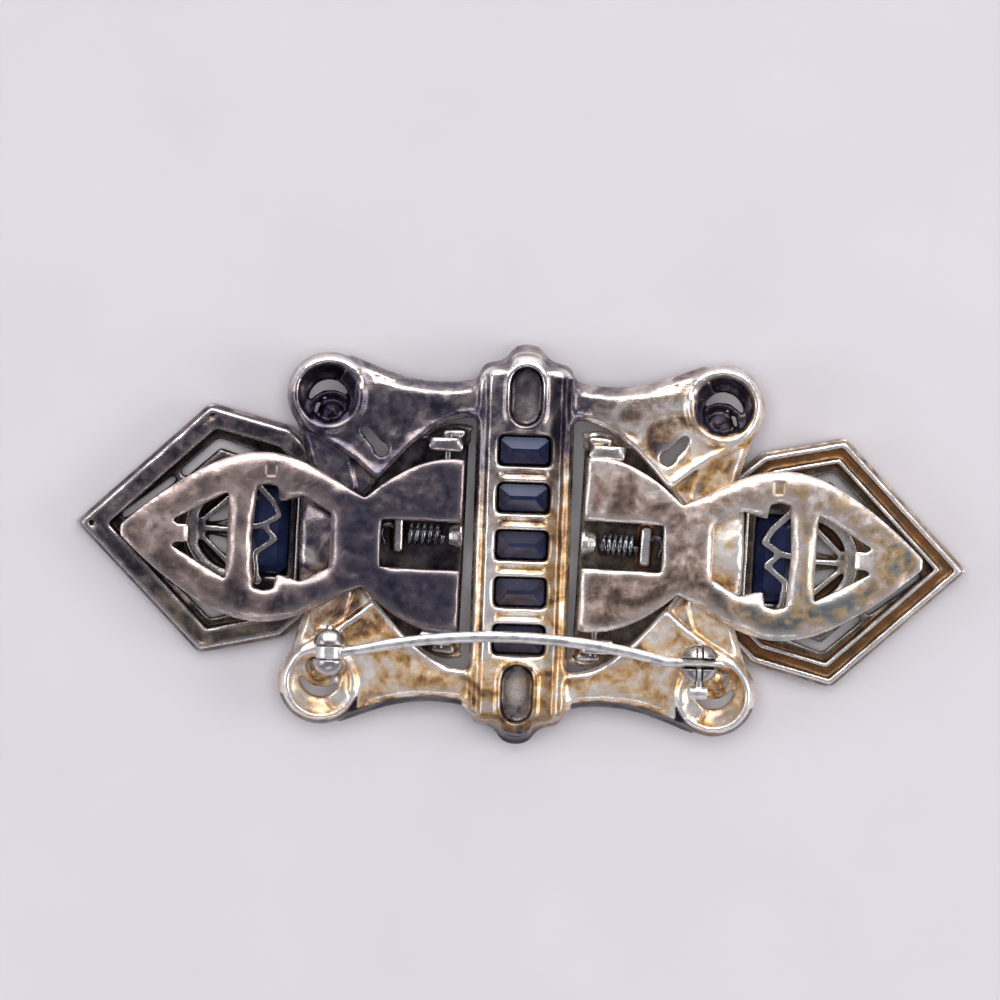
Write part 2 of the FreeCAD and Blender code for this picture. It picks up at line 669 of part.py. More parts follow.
def pin_stem():
    """The brooch pin: pierced head, bowed stem and pointed tip."""
    head = pin_along_y(JOINT_X, PIN_Z, HEAD_R, JOINT_Y - HEAD_HALF, JOINT_Y + HEAD_HALF)
    start = V(JOINT_X + 0.6, JOINT_Y, PIN_Z + 0.15)
    top = V(STEM_TOP_X, STEM_TOP_Y, STEM_TOP_Z)
    run_in = POINT_LENGTH - TIP_OVERHANG
    end = V(CATCH_X - run_in, CATCH_Y + STEM_ASIDE, PIN_Z + STEM_SLOPE * run_in)
    arc = Part.Arc(start, top, end)
    path = Part.Wire([arc.toShape()])
    tangent = arc.tangent(arc.FirstParameter)[0]
    ring = Part.Wire([Part.makeCircle(STEM_R, start, tangent)])
    stem = path.makePipeShell([ring], True, True)
    direction = V(CATCH_X, CATCH_Y, PIN_Z).sub(end)
    direction.multiply(POINT_LENGTH / run_in)
    tip_at = end.add(direction)
    point = Part.makeCone(STEM_R, STEM_TIP_R, direction.Length, end, direction)
    knuckle = Part.makeSphere(STEM_R, end)
    nose = Part.makeSphere(STEM_TIP_R, tip_at)
    body = head.fuse(stem).fuse(knuckle).fuse(point).fuse(nose)
    bore = pin_along_y(JOINT_X, PIN_Z, RIVET_R + RIVET_PLAY, -BIG, BIG)
    return body.cut(bore).removeSplitter()


def pin_rivet():
    reach = HEAD_HALF + JOINT_PLAY + SOCKET_DEPTH
    return pin_along_y(JOINT_X, PIN_Z, RIVET_R, JOINT_Y - reach, JOINT_Y + reach)


def catch_lock():
    """The turning lock: a slotted disc in the split ball, with its lever."""
    disc = Part.makeCylinder(LOCK_R, 2 * LOCK_HALF, V(CATCH_X - LOCK_HALF, CATCH_Y, PIN_Z), V(1, 0, 0))
    disc = disc.cut(box(CATCH_X - 1, CATCH_X + 1, CATCH_Y - CATCH_SLOT, CATCH_Y + CATCH_SLOT,
                        PIN_Z - CATCH_SLOT, BIG))
    lever = box(CATCH_X - LOCK_HALF, CATCH_X + LOCK_HALF, CATCH_Y - LEVER_LENGTH, CATCH_Y - LOCK_R + 0.3,
                PIN_Z - LEVER_LOW, PIN_Z + LEVER_HIGH)
    tab = Part.makeCylinder(TAB_R, 2 * TAB_HALF, V(CATCH_X - TAB_HALF, CATCH_Y - LEVER_LENGTH, PIN_Z),
                            V(1, 0, 0))
    return disc.fuse(lever).fuse(tab).removeSplitter()


def placed(shape, turn, shift):
    """A clip part in its place: moved along its hinge, then turned under the rails."""
    shape = shape.copy()
    shape.translate(V(0, shift, 0))
    shape.rotate(V(0, 0, 0), V(0, 0, 1), turn)
    return shape


def save(name, shape):
    solids = shape.Solids
    whole = solids[0] if len(solids) == 1 else Part.makeCompound(solids)
    whole.exportStep("parts/" + name + ".step")
    bounds = whole.BoundBox
    print(name, len(solids), whole.isValid(), round(whole.Volume, 2),
          [round(v, 2) for v in (bounds.XMin, bounds.XMax, bounds.YMin, bounds.YMax,
                                 bounds.ZMin, bounds.ZMax)])


def column_stone(centre):
    stone = step_cut(WINDOW_WIDTH - 2 * STONE_GAP, WINDOW_LENGTH - 2 * STONE_GAP,
                     STONE_TABLE_Z, STONE_GIRDLE_LOW, STONE_GIRDLE_HIGH, STONE_BACK_Z, STONE_CORNER)
    stone.translate(V(0, centre, 0))
    return stone


def clip_stone():
    stone = step_cut(CLIP_STONE_WIDTH - 2 * STONE_GAP, CLIP_STONE_LENGTH - 2 * STONE_GAP,
                     *CLIP_STONE_LEVELS, CLIP_STONE_CORNER)
    stone.translate(V(CLIP_STONE_X, 0, 0))
    return stone


def save_clip(side, mirror, turn, shift):
    parts = {
        "body": (clip_casting(), 0),
        "stone": (clip_stone(), 0),
        "plate": (clip_plate(), shift),
        "spring": (spring(), 0),
        "hinge_rivet_upper": (hinge_rivet(), 0),
        "hinge_rivet_lower": (flip_y(hinge_rivet()), 0),
    }
    for name, (shape, move) in parts.items():
        shape = flip_x(shape) if mirror else shape
        save("clip_" + side + "_" + name, placed(shape, turn, move))


os.makedirs("parts", exist_ok=True)
save("frame_body", frame_body())
for number, centre in enumerate(window_centres(), 1):
    save("stone_" + str(number), column_stone(centre))
save("pin_stem", pin_stem())
save("pin_rivet", pin_rivet())
save("catch_lock", catch_lock())
save_clip("left", True, LEFT_TURN, -PLATE_PLAY)
save_clip("right", False, RIGHT_TURN, PLATE_PLAY)
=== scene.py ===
import math

import bmesh
import bpy
import numpy as np
from mathutils import Matrix, Vector


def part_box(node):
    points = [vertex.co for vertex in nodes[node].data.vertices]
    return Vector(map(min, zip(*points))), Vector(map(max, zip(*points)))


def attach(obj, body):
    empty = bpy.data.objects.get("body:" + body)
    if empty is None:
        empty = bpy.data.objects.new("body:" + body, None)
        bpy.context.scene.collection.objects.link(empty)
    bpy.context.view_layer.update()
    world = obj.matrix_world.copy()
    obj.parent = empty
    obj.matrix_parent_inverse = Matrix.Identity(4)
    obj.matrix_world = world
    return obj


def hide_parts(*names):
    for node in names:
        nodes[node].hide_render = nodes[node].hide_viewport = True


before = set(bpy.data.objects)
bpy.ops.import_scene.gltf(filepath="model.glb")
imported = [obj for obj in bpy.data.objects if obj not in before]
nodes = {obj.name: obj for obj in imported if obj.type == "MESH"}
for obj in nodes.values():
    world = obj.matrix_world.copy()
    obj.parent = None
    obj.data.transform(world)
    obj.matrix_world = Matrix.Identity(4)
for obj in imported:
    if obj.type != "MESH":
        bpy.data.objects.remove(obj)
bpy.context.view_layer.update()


# ---------------------------------------------------------------- the brooch frame
# Cast silver in one piece: the ladder column, four wings that end in scrolls, and the two rails that
# the clips slide under. The casting has soft edges, a rolled line along each wing and a curled bead
# in each scroll. It is dark where it was never rubbed, towards the top, and paler towards the lower end: the
# dark is partly a painted dark reflection and the pale partly painted light. It has painted shade along its
# lower outer edges and in its low places, and a painted highlight along its upper edges.
IN_MM = Matrix.Scale(1000, 4)
IN_METRES = Matrix.Scale(0.001, 4)
SAME_POINT = 0.0005       # points nearer to each other than this, in millimetres, are one


def bare_object(name, data):
    """A new object at the origin for a mesh or a curve."""
    piece = bpy.data.objects.new(name, data)
    bpy.context.scene.collection.objects.link(piece)
    return piece


def merged(mesh):
    """Joins the points of a mesh that lie on each other."""
    shell = bmesh.new()
    shell.from_mesh(mesh)
    bmesh.ops.remove_doubles(shell, verts=shell.verts, dist=SAME_POINT)
    shell.to_mesh(mesh)
    shell.free()


def solid_in_mm(node, name):
    """A working copy of a construction solid, its loose triangles joined, in millimetres."""
    mesh = nodes[node].data.copy()
    mesh.name = name
    mesh.transform(IN_MM)
    merged(mesh)
    mesh.materials.clear()
    return bare_object(name, mesh)


def block(low, high):
    """A plain block used as a cutter, in millimetres."""
    shell = bmesh.new()
    bmesh.ops.create_cube(shell, size=1)
    size = Vector(high) - Vector(low)
    bmesh.ops.scale(shell, vec=size, verts=shell.verts)
    bmesh.ops.translate(shell, vec=(Vector(low) + Vector(high)) / 2, verts=shell.verts)
    mesh = bpy.data.meshes.new("block")
    shell.to_mesh(mesh)
    shell.free()
    return bare_object("block", mesh)


def made_plain(piece):
    """The piece with its modifiers worked into its mesh."""
    graph = bpy.context.evaluated_depsgraph_get()
    mesh = bpy.data.meshes.new_from_object(piece.evaluated_get(graph))
    piece.modifiers.clear()
    if piece.type == "MESH":
        piece.data = mesh
        return piece
    name = piece.name
    bpy.data.objects.remove(piece)
    return bare_object(name, mesh)


def carved(piece, tool, operation="DIFFERENCE"):
    """Cuts the tool out of the piece, or keeps only what is inside it, and throws the tool away."""
    cut = piece.modifiers.new("cut", "BOOLEAN")
    cut.operation = operation
    cut.object = tool
    cut.solver = "MANIFOLD"
    made_plain(piece)
    bpy.data.objects.remove(tool)
    return piece


def bead(points, radius, order=4):
    """A round wire of silver along smooth points, in millimetres; each point may have its own thickness."""
    line = bpy.data.curves.new("bead", "CURVE")
    line.dimensions = "3D"
    line.bevel_depth = 1.0
    line.bevel_resolution = 3
    line.resolution_u = 6
    line.use_fill_caps = True
    spline = line.splines.new("NURBS")
    spline.points.add(len(points) - 1)
    thickness = radius if isinstance(radius, (list, tuple)) else [radius] * len(points)
    for spot, place, thick in zip(spline.points, points, thickness):
        spot.co = (*place, 1)
        spot.radius = thick
    spline.order_u = order
    spline.use_endpoint_u = True
    wire = made_plain(bare_object("bead", line))
    merged(wire.data)
    return wire


def joined(pieces):
    """Several meshes as one, the first one's name kept."""
    shell = bmesh.new()
    for piece in pieces:
        shell.from_mesh(piece.data)
    first, *others = pieces
    first.data = bpy.data.meshes.new(first.name)
    shell.to_mesh(first.data)
    shell.free()
    for piece in others:
        bpy.data.objects.remove(piece)
    return first


def relaxed(points, edges, rounds):
    """Every point drawn towards the middle of its neighbours, over and over."""
    a, b = edges[:, 0], edges[:, 1]
    size = len(points)
    neighbours = np.bincount(edges.ravel(), minlength=size)[:, None]
    for _ in range(rounds):
        middle = np.stack([np.bincount(a, points[b, k], size) + np.bincount(b, points[a, k], size)
                           for k in range(3)], axis=1) / neighbours
        points = points + 0.5 * (middle - points)
    return points


PLAN_CELL = 0.15          # the outline is drawn on squares of this size, in millimetres
PLAN_MARGIN = 24          # empty squares left round it


def rounded_off(points, width, fall, beyond=0.0, axis=1, spared=(0.0, 0.0)):
    """Lets the upper side sink towards every edge and hole of the outline, as polishing does.
    width is how far in from an edge it starts, and fall how deep it goes. beyond keeps it to what lies
    that far out along an axis, and spared leaves a middle block alone."""
    low = points.min(axis=0)
    spots = ((points[:, :2] - low[:2]) / PLAN_CELL + PLAN_MARGIN).astype(int)
    plan = np.zeros(spots.max(axis=0) + PLAN_MARGIN + 2)
    plan[spots[:, 0], spots[:, 1]] = 1
    moved = np.roll(plan, 1, 0)
    plan = np.maximum.reduce([plan, moved, np.roll(plan, 1, 1), np.roll(moved, 1, 1)])
    wave = [np.fft.fftfreq(size, PLAN_CELL) for size in plan.shape]
    blur = np.exp(-2 * (math.pi * width) ** 2 * (wave[0][:, None] ** 2 + wave[1][None, :] ** 2))
    cover = np.fft.ifft2(np.fft.fft2(plan) * blur).real
    nearness = np.clip((1 - cover[spots[:, 0], spots[:, 1]]) / 0.5, 0, 1)
    middle = low[2] + 0.45 * (points[:, 2].max() - low[2])
    height = np.clip((points[:, 2] - middle) / 1.0, 0, 1)
    reached = np.clip((abs(points[:, axis]) - beyond) / 1.5, 0, 1) if beyond else 1
    clear = np.clip(np.maximum(abs(points[:, 0]) - spared[0], abs(points[:, 1]) - spared[1]) / 0.5, 0, 1)
    points[:, 2] -= fall * reached * clear * height * nearness ** 1.6
    return points


def of_every_point(mesh, what):
    """The places ("co") or directions ("normal") of a mesh's points, one row each."""
    rows = np.empty(len(mesh.vertices) * 3)
    mesh.vertices.foreach_get(what, rows)
    return rows.reshape(-1, 3)


def as_cast(piece, grain, softness, reach=40, depth=0.3, rounding=(), grime_and_shade_at=None):
    """Turns sharp solids into one soft skin, and marks on it how hollow or how raised each spot is.
    grain is the size of the skin's squares, and softness and reach are rounds of smoothing: for the skin,
    and for the wide average that a spot's depth is measured from. rounding holds what rounded_off is given.
    The last argument gives, spot by spot, how far grime and painted shade lie on it whatever its shape."""
    skin = piece.modifiers.new("skin", "REMESH")
    skin.mode = "VOXEL"
    skin.voxel_size = grain
    mesh = made_plain(piece).data
    mesh.materials.clear()
    points = of_every_point(mesh, "co")
    edges = np.empty(len(mesh.edges) * 2, np.int64)
    mesh.edges.foreach_get("vertices", edges)
    edges = edges.reshape(-1, 2)
    for turn in rounding:
        points = rounded_off(points, *turn)
    points = relaxed(points, edges, softness)
    mesh.vertices.foreach_set("co", points.ravel())
    mesh.update()
    dent = ((relaxed(points, edges, reach) - points) * of_every_point(mesh, "normal")).sum(axis=1)
    dent = np.clip(dent / depth, -1, 1)
    # Grime and painted shade given spot by spot raise the mark where they lie.
    if grime_and_shade_at:
        dent = np.maximum(dent, grime_and_shade_at(points))
    hollow = mesh.attributes.new("hollow", "FLOAT", "POINT")
    hollow.data.foreach_set("value", dent.astype(np.float32))
    mesh.shade_smooth()
    mesh.transform(IN_METRES)
    mesh.update()
    return piece


def new_finish(name):
    """A new material, with its tree and its shader."""
    finish = bpy.data.materials.new(name)
    finish.use_nodes = True
    return finish, finish.node_tree, finish.node_tree.nodes["Principled BSDF"]


def step(tree, kind, settings=None, **inputs):
    """One node of a finish: settings are its own values, inputs are numbers or other nodes' sockets.
    An input is called by its name, or i0, i1 and so on by its number."""
    node = tree.nodes.new(kind)
    for key, value in (settings or {}).items():
        setattr(node, key, value)
    for key, value in inputs.items():
        socket = node.inputs[int(key[1:])] if key[0] == "i" and key[1:].isdigit() else node.inputs[key]
        if isinstance(value, bpy.types.NodeSocket):
            tree.links.new(value, socket)
        else:
            socket.default_value = value
    return node


def ramp(tree, source, stops):
    """A row of colours along a value."""
    node = tree.nodes.new("ShaderNodeValToRGB")
    while len(node.color_ramp.elements) < len(stops):
        node.color_ramp.elements.new(0.5)
    for element, (place, colour) in zip(node.color_ramp.elements, stops):
        element.position = place
        element.color = (*colour, 1)
    tree.links.new(source, node.inputs[0])
    return node.outputs[0]


def span(tree, source, low, high, to_low=0.0, to_high=1.0):
    """A value stretched from one range to another, and kept inside it."""
    stretch = step(tree, "ShaderNodeMapRange", {"clamp": True},
                   i0=source, i1=low, i2=high, i3=to_low, i4=to_high)
    return stretch.outputs[0]


def maths(tree, a, b, operation="ADD"):
    return step(tree, "ShaderNodeMath", {"operation": operation}, i0=a, i1=b).outputs[0]


def blended(tree, share, under, over):
    """One colour laid over another by a share."""
    return step(tree, "ShaderNodeMix", {"data_type": "RGBA"}, i0=share, i6=under, i7=over).outputs[2]


def in_mm(tree):
    """A spot's own place on the piece, in millimetres."""
    own = step(tree, "ShaderNodeTexCoord").outputs["Object"]
    return step(tree, "ShaderNodeMapping", i0=own, i3=(1000, 1000, 1000)).outputs[0]


def part_of(tree, vector, axis):
    """The x, y or z of a vector, by its number."""
    return step(tree, "ShaderNodeSeparateXYZ", i0=vector).outputs[axis]


def way_along(tree, place, direction):
    """How far a place lies along a direction."""
    product = step(tree, "ShaderNodeVectorMath", {"operation": "DOT_PRODUCT"}, i0=place, i1=direction)
    return product.outputs[1]


def noise(tree, place, scale, detail, **more):
    return step(tree, "ShaderNodeTexNoise", Vector=place, Scale=scale, Detail=detail, **more).outputs[0]


def spread(tree, cloud, low, high):
    """A noise, which mostly lies between 0.3 and 0.7, stretched from low to high."""
    return span(tree, cloud, 0.3, 0.7, low, high)


BROAD_RELIEF = 0.00035    # metres from the hollows to the tops of the casting's waves
FINE_RELIEF = 0.00005     # and of its scratches and pits


def tarnished_with_painted_light(name, dark, pale, towards, change, grime_and_shade, worn_and_sheen, gloss, metal, blush=None, deep=(0.0, 0.1),
              handled=1.0, outer=None, lean=(0.0, 0.0, 0.0)):
    """Old silver: a dark and a pale tarnish that change over along a direction, grime in hollows, edges made
    pale by rubbing and by a painted highlight. gloss and metal are the two ends of how rough and how metallic it
    is. blush is a stain on the slopes of the hollows, and deep the heights between which low places get painted
    shade in the grime colour. handled is how much of the edge brightening the dark end has had, and outer is
    where along y the edges get it all the same, a painted highlight. lean is the way in which the whole gets
    lighter."""
    finish, tree, shader = new_finish(name)
    place = in_mm(tree)
    cloud = noise(tree, place, 0.26, 5.0, Distortion=1.6)
    speck = noise(tree, place, 1.5, 6.0, Roughness=0.6)
    mottle = maths(tree, maths(tree, cloud, 0.72, "MULTIPLY"), maths(tree, speck, 0.28, "MULTIPLY"))
    mottle = maths(tree, mottle, way_along(tree, place, lean))
    uneven = maths(tree, way_along(tree, place, towards), spread(tree, cloud, -3.0, 3.0))
    share = span(tree, uneven, *change)
    colour = blended(tree, share, ramp(tree, mottle, dark), ramp(tree, mottle, pale))
    hollow = step(tree, "ShaderNodeAttribute", {"attribute_name": "hollow"}).outputs["Fac"]
    ragged = maths(tree, hollow, spread(tree, speck, -0.12, 0.12))
    if blush:
        patches = span(tree, cloud, 0.36, 0.52, 0.35, 1.0)
        stained = maths(tree, span(tree, ragged, 0.06, 0.3), patches, "MULTIPLY")
        colour = blended(tree, stained, colour, (*blush, 1))
    # The grime colour in hollows, and on the frame also on the painted shade given to it spot by spot.
    colour = blended(tree, span(tree, ragged, 0.12, 0.75), colour, (*grime_and_shade, 1))
    height = maths(tree, part_of(tree, place, 2), spread(tree, speck, -0.3, 0.3))
    facing = part_of(tree, step(tree, "ShaderNodeTexCoord").outputs["Normal"], 2)
    # Painted shade: low places between the deep heights that do not face down get the grime colour.
    low_shade = maths(tree, span(tree, height, deep[1], deep[0]), span(tree, facing, -0.6, -0.2), "MULTIPLY")
    colour = blended(tree, low_shade, colour, (*grime_and_shade, 1))
    # Raised edges outside the low places are made pale by rubbing and by a painted highlight.
    wear_and_sheen = maths(tree, span(tree, ragged, -0.12, -0.5), maths(tree, 1.0, low_shade, "SUBTRACT"), "MULTIPLY")
    wear_and_sheen_reach = span(tree, share, 0.0, 1.0, handled, 1.0)
    # Painted highlight: where y passes the outer range, raised edges are brightened whatever the tarnish.
    if outer:
        wear_and_sheen_reach = maths(tree, wear_and_sheen_reach, span(tree, part_of(tree, place, 1), *outer), "MAXIMUM")
    wear_and_sheen = maths(tree, wear_and_sheen, wear_and_sheen_reach, "MULTIPLY")
    colour = blended(tree, wear_and_sheen, colour, (*worn_and_sheen, 1))
    drawn_out = step(tree, "ShaderNodeMapping", i0=place, i2=(0, 0, 0.5), i3=(0.6, 7, 3)).outputs[0]
    scratch = noise(tree, drawn_out, 2.0, 3.0)
    pits = noise(tree, place, 6.0, 4.0)
    relief = maths(tree, maths(tree, scratch, 0.4, "MULTIPLY"), maths(tree, pits, 0.6, "MULTIPLY"))
    relief = maths(tree, relief, mottle)
    waves = noise(tree, place, 0.42, 1.0)
    broad = step(tree, "ShaderNodeBump", Strength=1.0, Distance=BROAD_RELIEF, Height=waves).outputs[0]
    bump = step(tree, "ShaderNodeBump", Strength=0.5, Distance=FINE_RELIEF, Height=relief, Normal=broad)
    rough = maths(tree, spread(tree, speck, *gloss), maths(tree, wear_and_sheen, 0.08, "MULTIPLY"), "SUBTRACT")
    metallic = maths(tree, span(tree, share, 0.0, 1.0, *metal), maths(tree, wear_and_sheen, 0.06, "MULTIPLY"))
    metallic = span(tree, metallic, 0.0, 1.0)
    tree.links.new(colour, shader.inputs["Base Color"])
    tree.links.new(rough, shader.inputs["Roughness"])
    tree.links.new(metallic, shader.inputs["Metallic"])
    tree.links.new(bump.outputs[0], shader.inputs["Normal"])
    return finish


# Dark towards the top is partly a painted dark reflection, pale towards the lower right partly painted light;
# deep paints shade in low places and outer a highlight along the upper edges.
frame_finish = tarnished_with_painted_light(
    "frame_tarnish_and_painted_light",
    dark=[(0.36, (0.060, 0.058, 0.090)), (0.46, (0.165, 0.142, 0.175)), (0.54, (0.31, 0.26, 0.26)),
          (0.62, (0.52, 0.44, 0.40))],
    pale=[(0.37, (0.22, 0.11, 0.06)), (0.44, (0.66, 0.38, 0.15)), (0.50, (0.92, 0.65, 0.39)),
          (0.58, (0.97, 0.89, 0.80))],
    towards=(0.55, -1.0, 0.0), change=(-9.5, -0.5),
    grime_and_shade=(0.022, 0.016, 0.030), worn_and_sheen=(0.95, 0.90, 0.86), gloss=(0.18, 0.34), metal=(0.92, 0.66),
    deep=(1.6, 3.3), handled=0.0, outer=(12.3, 13.4))

SCROLL = (16.7, 12.2)       # the middle of a scroll's dish
KNOB = (16.35, 10.65)       # the knob in its eye


def curled(middle, start, turn, radius, growth, count, height):
    """Points on an arc from an angle on, in degrees, whose radius grows or shrinks a little at each."""
    angles = [math.radians(start + turn * i) for i in range(count)]
    return [(middle[0] + (radius + growth * i) * math.cos(angle),
             middle[1] + (radius + growth * i) * math.sin(angle), height) for i, angle in enumerate(angles)]


def scroll_beads(side_x, side_y):
    """The bead along the rim of a scroll's dish, and the one that curls over the knob in its eye."""
    rim = curled(SCROLL, 140, -14, 3.12, -0.012, 25, 5.02)
    curl = curled(KNOB, 205, -16, 1.55, 0.03, 15, 4.15)
    rim, curl = ([(side_x * x, side_y * y, z) for x, y, z in line] for line in (rim, curl))
    return [bead(rim, 0.40), bead(curl, [0.18 + 0.012 * i for i in range(len(curl))])]


def wing_line(side_x, side_y):
    """The narrow groove that runs inside the rolled outer edge of a wing."""
    points = [(4.6, 13.2, 5.0), (7.0, 12.8, 5.0), (10.0, 13.0, 5.0), (12.9, 13.9, 5.0)]
    return bead([(side_x * x, side_y * y, z) for x, y, z in points], 0.25)


DISH_RADIUS, SCROLL_RADIUS = 2.7, 3.1
WING_FROM, WING_TO = 4.6, 14.6              # along x, from the column to the scroll
RAIL_FROM, RAIL_TO, RAIL_END = 1.9, 3.9, 14.2
FOOT_HALF_WIDTH = 4.2
OVAL_Y, OVAL_HALF_WIDTH, OVAL_HALF_LENGTH = -12.55, 1.25, 2.4


def frame_grime_and_shade(points):
    """How much grime colour lies on each spot whatever its shape: painted shade along the lower outer edges, on
    the column's foot and in the lower oval cup, and darkening in the scrolls' dishes, most in the upper two, and
    on the column's right rail, more towards the top.
    """
    x, y = abs(points[:, 0]), points[:, 1]
    from_eye = np.hypot(x - SCROLL[0], abs(y) - SCROLL[1])
    dish = np.clip((DISH_RADIUS - from_eye) / 0.25, 0, 1) * np.where(y > 0, 0.75, 0.24)
    # Painted shade along the lower outer edges of the wings and of the lower scrolls.
    outline = np.interp(x, (3.6, 7.0, 10.5, 13.4, 15.0), (14.1, 13.6, 14.0, 15.0, 15.6))
    wing_edge = np.where((x > WING_FROM) & (x < WING_TO), np.clip((0.85 - y - outline) / 0.3, 0, 1), 0)
    scroll_edge = np.where((y < -13.2) & (x > 13.5), np.clip((from_eye - SCROLL_RADIUS) / 0.25, 0, 1), 0)
    on_rail = (points[:, 0] < RAIL_TO) * (abs(y) < RAIL_END)
    rail = np.clip((points[:, 0] - RAIL_FROM) / 0.4, 0, 1) * on_rail
    rail = rail * np.interp(y, (-6.0, 3.0, 9.0), (0.34, 0.40, 0.66))
    # Painted shade on the column's foot, deepest at its lower end, and in the lower oval cup, most towards its
    # rim.
    foot = np.interp(y, (-16.6, -15.2, -13.0, -9.0), (0.85, 0.52, 0.26, 0.0)) * (x < FOOT_HALF_WIDTH)
    in_oval = (x < OVAL_HALF_WIDTH) & (abs(y - OVAL_Y) < OVAL_HALF_LENGTH)
    oval = np.where(in_oval, np.interp(np.hypot(x, (y + 12.2) / 1.6), (0.3, 1.0), (0.2, 0.62)), 0)
    column = np.maximum(np.maximum(rail, foot), oval)
    share = np.maximum(np.maximum(dish, column), np.maximum(wing_edge, scroll_edge) * 0.82)
    return np.where(share > 0.05, share, -1.0)


# The two boxes, in millimetres, that hold the fittings on the lower scrolls.
JOINT_LOW, JOINT_HIGH = (-18.6, -12.9, 5.36), (-13.0, -6.4, 12.0)
CATCH_LOW, CATCH_HIGH = (13.0, -12.2, 5.36), (17.6, -6.8, 12.0)
brooch_frame = solid_in_mm("frame_body", "brooch_frame")
carved(brooch_frame, block(JOINT_LOW, JOINT_HIGH))
carved(brooch_frame, block(CATCH_LOW, CATCH_HIGH))
QUARTERS = [(side_x, side_y) for side_x in (-1, 1) for side_y in (-1, 1)]
for quarter in QUARTERS:
    carved(brooch_frame, wing_line(*quarter))
beads = [wire for quarter in QUARTERS for wire in scroll_beads(*quarter)]
brooch_frame = joined([brooch_frame] + beads)
as_cast(brooch_frame, grain=0.192, softness=3, reach=32, grime_and_shade_at=frame_grime_and_shade,
        rounding=[(0.5, 0.5), (1.15, 0.8, 9.0, 1, (4.3, 14.4))])
brooch_frame.data.materials.append(frame_finish)
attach(brooch_frame, "brooch")
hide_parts("frame_body")


# ---------------------------------------------------------------- ball joint and catch
# Two small turned fittings soldered on the lower scrolls: the split ball that holds the pin's head,
# and the ball that takes its tip. They are rubbed brighter than the casting.
fitting_finish = tarnished_with_painted_light(
    "fitting_silver",
    dark=[(0.36, (0.12, 0.11, 0.11)), (0.5, (0.30, 0.275, 0.27)), (0.62, (0.52, 0.49, 0.475))],
    pale=[(0.36, (0.20, 0.185, 0.18)), (0.5, (0.40, 0.375, 0.36)), (0.62, (0.64, 0.61, 0.59))],
    towards=(0.0, 0.0, 1.0), change=(5.0, 8.0),
    grime_and_shade=(0.03, 0.026, 0.03), worn_and_sheen=(0.74, 0.71, 0.69), gloss=(0.16, 0.28), metal=(0.95, 0.85))
for name, low, high in (("ball_joint", JOINT_LOW, JOINT_HIGH), ("catch_ball", CATCH_LOW, CATCH_HIGH)):
    fitting = carved(solid_in_mm("frame_body", name), block(low, high), "INTERSECT")
    as_cast(fitting, grain=0.07, softness=4, reach=12, depth=0.2)
    fitting.data.materials.append(fitting_finish)
    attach(fitting, "brooch")


# ---------------------------------------------------------------- clip castings
# Each clip is a pierced five-sided casting with a tongue to the hinge. The left one is dark, the
# right one keeps orange-brown tarnish in the groove of its rim. Both carry painted shade low inside,
# and their raised edges are made pale by rubbing and by a painted highlight.
clip_looks = {
    "left": dict(
        dark=[(0.34, (0.035, 0.034, 0.048)), (0.46, (0.10, 0.085, 0.10)), (0.56, (0.24, 0.19, 0.185)),
              (0.66, (0.42, 0.35, 0.34))],
        pale=[(0.30, (0.05, 0.042, 0.04)), (0.46, (0.14, 0.11, 0.09)), (0.58, (0.28, 0.22, 0.15)),
              (0.70, (0.42, 0.36, 0.27))],
        towards=(0.0, -1.0, 0.0), change=(2.0, 9.0), grime_and_shade=(0.016, 0.014, 0.02),
        worn_and_sheen=(0.72, 0.66, 0.65), gloss=(0.2, 0.4), metal=(0.92, 0.8), blush=(0.13, 0.080, 0.055),
        # Painted shade on the low inner parts of the casting.
        deep=(0.7, 2.3)),
    "right": dict(
        dark=[(0.30, (0.06, 0.05, 0.045)), (0.46, (0.16, 0.13, 0.11)), (0.58, (0.34, 0.28, 0.22)),
              (0.70, (0.55, 0.48, 0.42))],
        pale=[(0.30, (0.16, 0.11, 0.07)), (0.46, (0.34, 0.26, 0.18)), (0.58, (0.52, 0.46, 0.38)),
              (0.70, (0.74, 0.70, 0.64))],
        towards=(1.0, 0.0, 0.0), change=(20.0, 34.0), grime_and_shade=(0.02, 0.015, 0.012),
        worn_and_sheen=(0.86, 0.83, 0.80), gloss=(0.2, 0.42), metal=(0.8, 0.65), blush=(0.52, 0.25, 0.09),
        # Painted shade on the low inner parts of the casting.
        deep=(0.7, 2.3)),
}
KNUCKLE_BEADS = [            # ridge, saddle, end of the rivet and arch: their points and thickness
    ([(5.3, 8.0, 5.2), (6.2, 8.0, 5.35), (7.4, 8.0, 5.35), (8.2, 8.0, 5.2)], 0.48),
    ([(4.7, 8.7, 4.3), (6.0, 8.7, 4.5), (7.5, 8.7, 4.4), (8.3, 8.7, 4.1)], 0.42),
    ([(5.2, 9.2, 4.95), (6.0, 9.25, 5.05), (7.1, 9.1, 4.85)], 0.3),
    ([(4.6, 9.5, 4.2), (5.6, 9.95, 4.3), (6.8, 9.7, 4.2), (7.9, 9.0, 4.0)], 0.34),
]
RIM_LINE = [(18.0, 5.68), (20.57, 7.93), (26.63, 9.36), (36.25, 0.0)]
OUTWARDS = {"left": -1, "right": 1}
CLIP_LIE = {"left": Matrix.Rotation(math.radians(-1.0), 4, "Z"),     # neither clip lies quite straight
            "right": Matrix.Rotation(math.radians(-1.6), 4, "Z")}


def clip_beads(side):
    """The worn knuckles of a clip's hinge, and the silver left thicker in the groove of the left clip's rim."""
    beads = [bead([(OUTWARDS[side] * x, flip * y, z) for x, y, z in line], thick)
             for line, thick in KNUCKLE_BEADS for flip in (1, -1)]
    if side == "left":
        beads += [bead([(-x, flip * y, 2.86) for x, y in RIM_LINE], 0.52, order=2) for flip in (1, -1)]
    for wire in beads:
        wire.data.transform(CLIP_LIE[side])
    return beads


